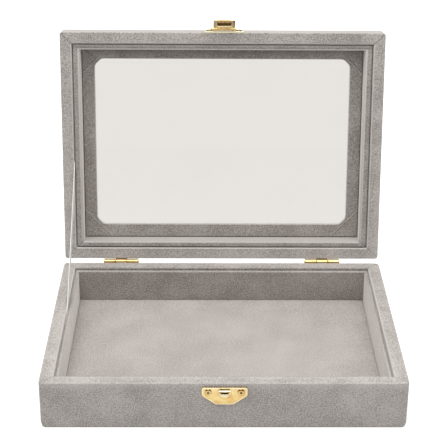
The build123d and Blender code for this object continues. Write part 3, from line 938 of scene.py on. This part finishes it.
def shield_points(edge, toward, reach=11.2):
    """The half octagon, from its wide edge by the rim to its narrow foot."""
    side, end = edge + toward * 5, edge + toward * reach
    return [(-plate_half, edge), (plate_half, edge), (plate_half, side), (foot_half, end),
            (-foot_half, end), (-plate_half, side)]


def tongue_points(width, height, top, steps=12):
    """A tongue: straight along the top and half round below."""
    radius = width / 2
    middle = top - (height - radius)
    turn_step = math.pi / steps
    arc = [(-radius * math.cos(turn_step * i), middle - radius * math.sin(turn_step * i))
           for i in range(steps + 1)]
    return [(radius, top), (-radius, top), *arc]


def smile_points(half, top, dip, steps=10):
    """A slot that is almost straight along its top and sags below like a smile."""
    arc = [(-half + 2 * half * i / steps, top - dip * math.sin(math.pi * i / steps) ** 0.8)
           for i in range(1, steps)]
    return [(half, top), (half * 0.4, top - 0.12), (-half * 0.4, top - 0.12), (-half, top), *arc]


# %% [markdown]
# ## The catch plate and its hook
#
# The hook is a half-round tongue that stands out of the plate, with a smile-shaped slot punched
# in its front. The slot leaves a crescent below it, tilted up to the light and painted as a
# highlight. Between the tongue and a narrow bar above it stands a small block painted dark, as
# painted shade for the recess there, and round both the metal is pressed up a little into a boss.
# We stack these pieces from the hook down to the plate, because the hole and the tilt are easiest
# to make while nothing else is in the mesh.

# %% Catch plate with its hook
on_tray = tray_front @ Matrix.Translation((0.25, 0, 0))
hook_foot, hook_rise, tilt_from, tilt = 0.8, 1.5, -3.4, 0.33
bm = bmesh.new()
raise_outline(bm, bar_points(2.9, -3.2, -2.35), hook_foot, 0.53, 0)
# the whole block is painted shade, standing for the shadow in the recess
paint(bm, "edge", -0.8, lambda x, y, z: True)
raise_outline(bm, tongue_points(6.3, 3.8, -2.8), hook_foot, hook_rise, 0.3)
sink_hole(bm, smile_points(2.5, -3.92, 1.05), hook_foot + hook_rise, 0.62, 0.08)
metal_shading = bm.verts.layers.float["edge"]
for vert in bm.verts:
    if -3.7 < vert.co.y < -2.75 and vert.co.z > 1.4:
        vert.co.y -= 0.45 * (vert.co.z - hook_foot)
    if vert.co.y < tilt_from and vert.co.z > 1.9:
        vert.co.z += tilt * (tilt_from - vert.co.y)
        # painted highlight on the crescent below the slot
        if vert.co.y < -4 and abs(vert.co.x) < 2.3:
            vert[metal_shading] = 1.0
plate_top, plate_face = -1.75, 1.3
raise_outline(bm, shield_points(plate_top, -1, 10.5), 0, plate_face, 0.25, corners=0.8)
# painted highlight round the plate's face, and painted shade darkening towards its foot
rub_border(bm, plate_face, 0.5, 0.8, (0.25, -0.12))
# painted dark reflection on the plate's top side
paint(bm, "edge", -0.35, lambda x, y, z: y > plate_top - 0.01 and z < 1.1)
boss = 0.85
# the bar's rounded edge gets a painted highlight, the tongue boss's edge painted shade
raise_outline(bm, bar_points(3.3, -2.2, -1.6), hook_foot, boss, 0.25)
raise_outline(bm, tongue_points(7.4, 5.6, -3.25), hook_foot, boss, 0.3, edge_shading=-0.3)
catch_cover = finish(bm, "catch_plate_pressing", brass_plate, "base", ["catch_plate"],
                     place=on_tray)

# %% [markdown]
# ## The latch plate and its eyes
#
# The plate on the lid is the same half octagon, 0.7 mm longer. Its wide edge is rolled into two
# outer eyes, and the flap's own roll turns between them. In the photograph this plate sits
# 0.8 mm to the right of the middle, so we put it there.

# %% Latch plate with the outer eyes
latch_shift, latch_edge = 0.8, 0.8
joint_up, joint_out = 1.4, 2.1
on_lid = lid_front @ Matrix.Translation((latch_shift, 0, -0.2))
bm = bmesh.new()
# painted highlight on the plate's rounded edge and along its wide edge
raise_outline(bm, shield_points(latch_edge, 1), 0, 1.0, 0.25, corners=0.4, edge_shading=1.0)
paint(bm, "edge", 1.0, lambda x, y, z: y < latch_edge + 0.01)
for start, end in ((-7.5, -4.1), (4.1, 7.5)):
    roll_eye(bm, start, end, joint_up, joint_out)
latch_cover = finish(bm, "latch_plate_pressing", brass_plate, "lid", ["latch_plate"],
                     place=on_lid)

# %% [markdown]
# ## Nails
#
# Round-headed nails hold the plates. Their heads have a small dimple in the middle. The dimple
# and the outer ring get painted shade and dark reflection, and the rest of the head a trace of
# it. A head is a short profile spun once round its axis.

# %% Nail heads
head_profile = [(0, -1.0), (0.16, -0.9), (0.28, -0.4), (0.36, -0.08), (0.5, 0), (0.68, -0.08),
                (0.85, -0.28), (0.96, -0.55), (1, -0.75), (0.94, -0.95)]


def nail_heads(name, place, spots, seat, radius, rise, body, stands_for=()):
    """Domed nail heads with a dimple, each spun from its profile of (radius, height) shares."""
    bm = bmesh.new()
    metal_shading = bm.verts.layers.float.new("edge")
    for x, y in spots:
        points = [bm.verts.new((x + r * radius, y, seat + rise + h * rise))
                  for r, h in head_profile]
        points.append(bm.verts.new((x, y, seat)))
        for vert, (r, h) in zip(points, head_profile):
            # painted shade: darkest in the dimple, less on the outer ring, a trace elsewhere
            vert[metal_shading] = -0.9 if r < 0.3 else -0.4 if r > 0.8 else -0.1
        edges = [bm.edges.new((a, b)) for a, b in zip(points, points[1:])]
        bmesh.ops.spin(bm, geom=points + edges, cent=(x, y, 0), axis=(0, 0, 1),
                       angle=2 * math.pi, steps=24, use_merge=True)
    piece = finish(bm, name, brass_plate, body, stands_for, place=place, crease=50)


nail_heads("catch_nail_heads", on_tray, [(-8.9, -4.45), (8.9, -4.45)], 1.25, 2.0, 0.75,
           "base", ["catch_nails"])
nail_heads("latch_nail_heads", on_lid, [(-9.05, 4.1), (9.05, 4.1)], 0.95, 2.0, 0.5,
           "lid", ["latch_nails"])

# %% [markdown]
# ## The flap of the drop latch
#
# The flap is a small pressed sheet that hangs on the middle of the joint. A rectangular pocket
# pressed out of it drops over the hook. It is open behind, and the camera looks into it. So we
# model one surface: the flat outline with the pocket's outline in it, whose edges are drawn
# forward with a little draft and closed by a floor. Both outlines are drawn as faces only to
# round their corners, and a triangle fill then joins them.

# %% Surface of the flap
raised = math.radians(32)
flap_out = -lid_rear * math.cos(raised) + lid_up * math.sin(raised)
latch_axis = lid_front @ Vector((latch_shift, joint_up, joint_out))
on_flap = frame_matrix(latch_axis, (1, 0, 0), flap_out)
face_level, pocket_deep, pocket_centre = 0.5, 1.5, 6.3
bm = bmesh.new()
bm.verts.layers.float.new("edge")
for half, low, high, rounded, radius, segments in ((6.6, -10.9, -1.5, 2, 1.6, 5),
                                                   (4.9, -9.0, -2.7, 4, 0.9, 4)):
    corners = [bm.verts.new((x, y, face_level)) for x, y in bar_points(half, low, high)]
    bm.faces.new(corners)
    bevel(bm, corners[:rounded], radius, segments, "VERTICES")
bmesh.ops.delete(bm, geom=bm.faces[:], context="FACES_ONLY")
mouth = [e for e in bm.edges if all(abs(v.co.x) < 5 and -10 < v.co.y <= -2 for v in e.verts)]
bmesh.ops.triangle_fill(bm, edges=bm.edges[:], use_beauty=True)
floor_edges = drop_loop(bm, mouth, pocket_deep)
floor_verts = list({v for e in floor_edges for v in e.verts})
bmesh.ops.translate(bm, vec=(0, pocket_centre, 0), verts=floor_verts)
bmesh.ops.scale(bm, vec=(0.93, 0.91, 1), verts=floor_verts)
bmesh.ops.translate(bm, vec=(0, -pocket_centre, 0), verts=floor_verts)
bmesh.ops.edgeloop_fill(bm, edges=floor_edges)
bmesh.ops.recalc_face_normals(bm, faces=bm.faces)
bevel(bm, floor_edges, 0.6, 4)
bevel(bm, mouth, 0.35, 3)
cut(bm, (0, -10.5, 0), (0, 1, 0))

# %% [markdown]
# ## Wear and thickness of the flap
#
# The flat rim of the flap gets a painted highlight, and the pocket's part near the joint, its
# far end wall and the end of the sheet get painted shade and dark reflection, as the photograph
# shows them. These marks belong to the inner side, which the camera sees. Solidify keeps the
# first surface as the outer side and adds the inner one, so on the outer side we leave only a
# trace of them. The roll that turns on the pin comes last.

# %% Marks and thickness of the flap
# painted shade and dark reflection near the joint and at the ends, painted highlight on the rim
paint(bm, "edge", -0.8, lambda x, y, z: y > -4.5)
paint(bm, "edge", -0.9, lambda x, y, z: y < -8.3 and z > face_level + 0.6)
paint(bm, "edge", 0.9, lambda x, y, z: z < face_level + 0.3)
paint(bm, "edge", -1, lambda x, y, z: y < -10.8 or (y < -9.2 and x > 6))
metal_shading = bm.verts.layers.float["edge"]
outer_side = bm.verts[:]
bmesh.ops.solidify(bm, geom=bm.faces[:], thickness=0.6)
for vert in outer_side:
    vert[metal_shading] *= 0.15
print("pocketed sheet from", min(v.co.z for v in bm.verts), "to", max(v.co.z for v in bm.verts))
roll_eye(bm, -4.0, 4.0, 0, 0)
flap = finish(bm, "latch_flap_pressing", brass_plate, "hasp", ["latch_flap"], place=on_flap)

# %% [markdown]
# ## Hinges
#
# Each hinge is two leaves of 0.9 mm strip. The strip's end is rolled round the pin into a
# knuckle: two outer knuckles on the tray's leaf and one between them on the lid's. Spinning the
# end of the strip round the pin's axis makes the same roll. The gaps between the knuckles get
# painted shade and their rounds a painted highlight, so that the joint reads at a distance.

# %% Hinge leaf helper
leaf_half, leaf_near, leaf_far, leaf_thick = 10.8, 2.2, 10.5, 0.9
knuckle, knuckle_play, knuckle_foot = 7.07, 0.03, 0.5


def hinge_leaf(name, place, centre, toward, starts, body, stands_for):
    """A leaf with its strip end rolled into a knuckle at each start."""
    bm = bmesh.new()
    points = [(centre - leaf_half, toward * leaf_near), (centre + leaf_half, toward * leaf_near),
              (centre + leaf_half, toward * leaf_far), (centre - leaf_half, toward * leaf_far)]
    raise_outline(bm, points, 0, leaf_thick, 0.15)
    root = toward * (leaf_near + 0.1)
    metal_shading = bm.verts.layers.float["edge"]
    for start in starts:
        a, b = centre + start + knuckle_play, centre + start + knuckle - knuckle_play
        ring = [bm.verts.new((x, root, z))
                for x, z in ((a, 0), (b, 0), (b, leaf_thick), (a, leaf_thick))]
        end = bm.faces.new(ring)
        made = bmesh.ops.extrude_face_region(bm, geom=[end], use_keep_orig=True)["geom"]
        face = next(g for g in made if isinstance(g, bmesh.types.BMFace))
        for vert in face.verts:
            vert.co.y = 0
            vert.co.z = knuckle_foot + leaf_thick * (vert.co.z > leaf_thick / 2)
        bmesh.ops.spin(bm, geom=[face, *face.edges, *face.verts], cent=(0, 0, hinge_out),
                       axis=(toward, 0, 0), angle=-roll_turn, steps=roll_steps,
                       use_merge=False)
        ends = [v for v in bm.verts if min(abs(v.co.x - a), abs(v.co.x - b)) < 0.01]
        for x in (a + 0.3, b - 0.3):
            cut(bm, (x, 0, 0), (1, 0, 0))
        # painted highlight on the knuckle's round, painted shade at its ends by the gaps
        for vert in bm.verts:
            if vert.co.z > 1.5 and vert[metal_shading] > -0.5:
                vert[metal_shading] = 0.4
        for vert in ends:
            vert[metal_shading] = -1
    piece = finish(bm, name, brass_plate, body, stands_for, place=place)


# %% [markdown]
# ## Placing the leaves and their nails
#
# Both hinges are the same, so a loop places them, 64.2 mm to the left and right of the middle.
# Each leaf is held by two nails. The CAD model leaves these small fasteners out, so they are
# drawn only here.

# %% Leaves and nails
hinge_x, nail_x, nail_y = 64.2, 6.5, 6.6
for side, sign in (("left", -1), ("right", 1)):
    hinge_leaf(f"hinge_{side}_tray_leaf", tray_back, -sign * hinge_x, -1,
               [-leaf_half, leaf_half - knuckle], "base", [f"hinge_{side}_base_leaf"])
    hinge_leaf(f"hinge_{side}_lid_leaf_rolled", lid_back, -sign * hinge_x, 1, [-knuckle / 2],
               "lid", [f"hinge_{side}_lid_leaf"])
for part, place, toward, body in (("tray", tray_back, -1, "base"), ("lid", lid_back, 1, "lid")):
    spots = [(s * hinge_x + t * nail_x, toward * nail_y) for s in (-1, 1) for t in (-1, 1)]
    nail_heads(f"hinge_{part}_nail_heads", place, spots, 0.85, 1.6, 0.7, body)

# %% [markdown]
# ## The ribbon stay
#
# A satin ribbon comes out of the left groove of the tray and goes into the groove of the lid,
# and 10 mm at each end is taken as glued in. It is drawn tight when the lid is open, so it is
# straight. The strip is a grid with a UV map, so that the ribs of the weave follow it, and it is
# thickened at the end. Its mesh is 7.2 mm wide, less than the 10 mm of the CAD band. When the
# lid closes, the ribbon is blended between the two bodies.

# %% Ribbon
ribbon_wide, ribbon_thick, glued_end = 7.2, 0.3, 10
from_back_low, from_back_high, ribbon_forward = 54.6, 53.3, 1.3
ribbon_x = -(half_width - board - groove / 2)
ribbon_low = Vector((ribbon_x, half_depth - from_back_low, rim))
ribbon_high = in_lid @ Vector((ribbon_x, half_depth - from_back_high, 0))
run = ribbon_high - ribbon_low
length = run.length + 2 * glued_end
bm = bmesh.new()
bmesh.ops.create_grid(bm, x_segments=60, y_segments=8, size=0.5, calc_uvs=True)
bmesh.ops.scale(bm, vec=(length, ribbon_wide, 1), verts=bm.verts)
bmesh.ops.solidify(bm, geom=bm.faces[:], thickness=ribbon_thick)
bmesh.ops.translate(bm, vec=(0, 0, ribbon_thick / 2), verts=bm.verts)
middle = (ribbon_low + ribbon_high) / 2 - Vector((ribbon_thick / 2, ribbon_forward, 0))
on_ribbon = frame_matrix(middle, run, (1, 0, 0))
ribbon = finish(bm, "ribbon_stay", ribbon_satin, None, ["lid_ribbon"], place=on_ribbon,
                even=False)
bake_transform(ribbon, "base", "lid", start=ribbon_low * MM, end=ribbon_high * MM)

# %% [markdown]
# ## Pieces that keep their CAD shape
#
# A few CAD pieces have the right shape already and only need their finish: the glass pane, the
# pins and the bottom board.

# %% Finish the CAD pieces
finishes = {"glass_pane": glass, "base_bottom_board": grey_board, "hinge_left_pin": pin_brass,
            "hinge_right_pin": pin_brass, "latch_pin": pin_brass}
for name, material in finishes.items():
    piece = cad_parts[name]
    piece.data.materials.clear()
    piece.data.materials.append(material)
    print(name, "gets", material.name)

# %% [markdown]
# ## Floor
#
# The photograph shows the box on pure white, so the floor has to look white, while its own
# diffuse colour keeps the box's shadow. One emission adds white for the camera, and a little for
# reflections. Rays through the glass see a second, plain white one instead. The floor lies a
# hair below the box, because two surfaces at one level flicker.

# %% Floor
bm = bmesh.new()
bmesh.ops.create_grid(bm, x_segments=1, y_segments=1, size=3)
bmesh.ops.translate(bm, vec=(0, 0, -0.05 * MM), verts=bm.verts)
floor_mesh = bpy.data.meshes.new("studio_floor")
bm.to_mesh(floor_mesh)
bm.free()
floor = bpy.data.objects.new("studio_floor", floor_mesh)
bpy.context.scene.collection.objects.link(floor)

white = linear("#FFFFFF")
paper = bpy.data.materials.new("white_studio_paper")
paper.use_nodes = True
paper.node_tree.nodes.clear()
rays = add_node(paper, "ShaderNodeLightPath", {}).outputs
in_metal = add_node(paper, "ShaderNodeMath", {0: rays["Is Glossy Ray"], 1: 0.3},
                    operation="MULTIPLY")
lift = add_node(paper, "ShaderNodeMath",
                {0: rays["Is Camera Ray"], 1: 0.65, 2: in_metal.outputs[0]},
                operation="MULTIPLY_ADD")
glow = add_node(paper, "ShaderNodeEmission", {"Color": white, "Strength": lift.outputs[0]})
matt = add_node(paper, "ShaderNodeBsdfDiffuse", {"Color": linear("#CCCCCC")})
lit = add_node(paper, "ShaderNodeAddShader", {0: glow.outputs[0], 1: matt.outputs[0]})
plain = add_node(paper, "ShaderNodeEmission", {"Color": white, "Strength": 1.0})
end_material(paper, add_node(
    paper, "ShaderNodeMixShader",
    {0: rays["Is Transmission Ray"], 1: lit.outputs[0], 2: plain.outputs[0]}))
floor_mesh.materials.append(paper)

# %% [markdown]
# ## Sky and lamp
#
# The light is an even grey sky and one large soft lamp above, a little to the left and in front.
# The camera sees that sky as plain white. Polished metal looks like what it mirrors, and brass
# that mirrors only white looks like plastic. So reflections see a different sky: pale at the
# horizon, like the floor, and dark above, like the ceiling of a studio round the lamp.

# %% World and lamp
world = bpy.data.worlds.new("studio")
bpy.context.scene.world = world
world.use_nodes = True
world.node_tree.nodes.clear()
rays = add_node(world, "ShaderNodeLightPath", {}).outputs
direct = add_node(world, "ShaderNodeMath",
                  {0: rays["Is Camera Ray"], 1: rays["Is Transmission Ray"]},
                  operation="MAXIMUM")
heading = add_node(world, "ShaderNodeTexCoord", {})
height = add_node(world, "ShaderNodeSeparateXYZ", {0: heading.outputs["Generated"]})
ceiling = add_node(world, "ShaderNodeMapRange",
                   {"Value": height.outputs["Z"], "From Min": 0.06, "From Max": 0.25,
                    "To Min": 0.9, "To Max": 0.12})
shade = add_node(world, "ShaderNodeMapRange",
                 {"Value": rays["Is Glossy Ray"], "To Min": 0.64, "To Max": ceiling.outputs[0]})
strength = add_node(world, "ShaderNodeMath", {0: direct.outputs[0], 1: shade.outputs[0]},
                    operation="MAXIMUM")
sky = add_node(world, "ShaderNodeBackground", {"Color": white, "Strength": strength.outputs[0]})
add_node(world, "ShaderNodeOutputWorld", {"Surface": sky.outputs[0]})

lamp_at, lamp_aim = Vector((-0.08, -0.15, 1.2)), Vector((0, 0.02, 0.05))
lamp_data = bpy.data.lights.new("soft_top", "AREA")
lamp_data.shape, lamp_data.size, lamp_data.energy = "SQUARE", 1.1, 12.4
lamp = bpy.data.objects.new("soft_top", lamp_data)
lamp.location = lamp_at
lamp.rotation_euler = (lamp_aim - lamp_at).to_track_quat("-Z", "Y").to_euler()
bpy.context.scene.collection.objects.link(lamp)
print("soft_top at", lamp_at[:], "with", lamp_data.energy, "W")

# %% [markdown]
# ## Camera
#
# The camera stands where the photograph was taken from. Its place, its three turns and its lens
# were found by fitting the corners of tray and lid to the photograph. The quarter turn at the end
# of the product makes it look along the floor, because a camera in Blender looks down at first.

# %% Camera
camera_data = bpy.data.cameras.new("camera")
camera_data.sensor_width, camera_data.lens = 36.0, 105.26
camera_at = (-0.0097347, -0.675531, 0.405292)
heading_turn, pitch, roll = -0.014685, -0.437100, -0.0085274
camera = bpy.data.objects.new("camera", camera_data)
camera.matrix_world = (Matrix.Translation(camera_at) @ Matrix.Rotation(heading_turn, 4, "Z")
                       @ Matrix.Rotation(pitch, 4, "X") @ Matrix.Rotation(roll, 4, "Y")
                       @ Matrix.Rotation(math.pi / 2, 4, "X"))
bpy.context.scene.collection.objects.link(camera)
bpy.context.scene.camera = camera
bpy.context.scene.view_settings.view_transform = "Standard"
print("camera at", [round(v, 3) for v in camera.matrix_world.translation])
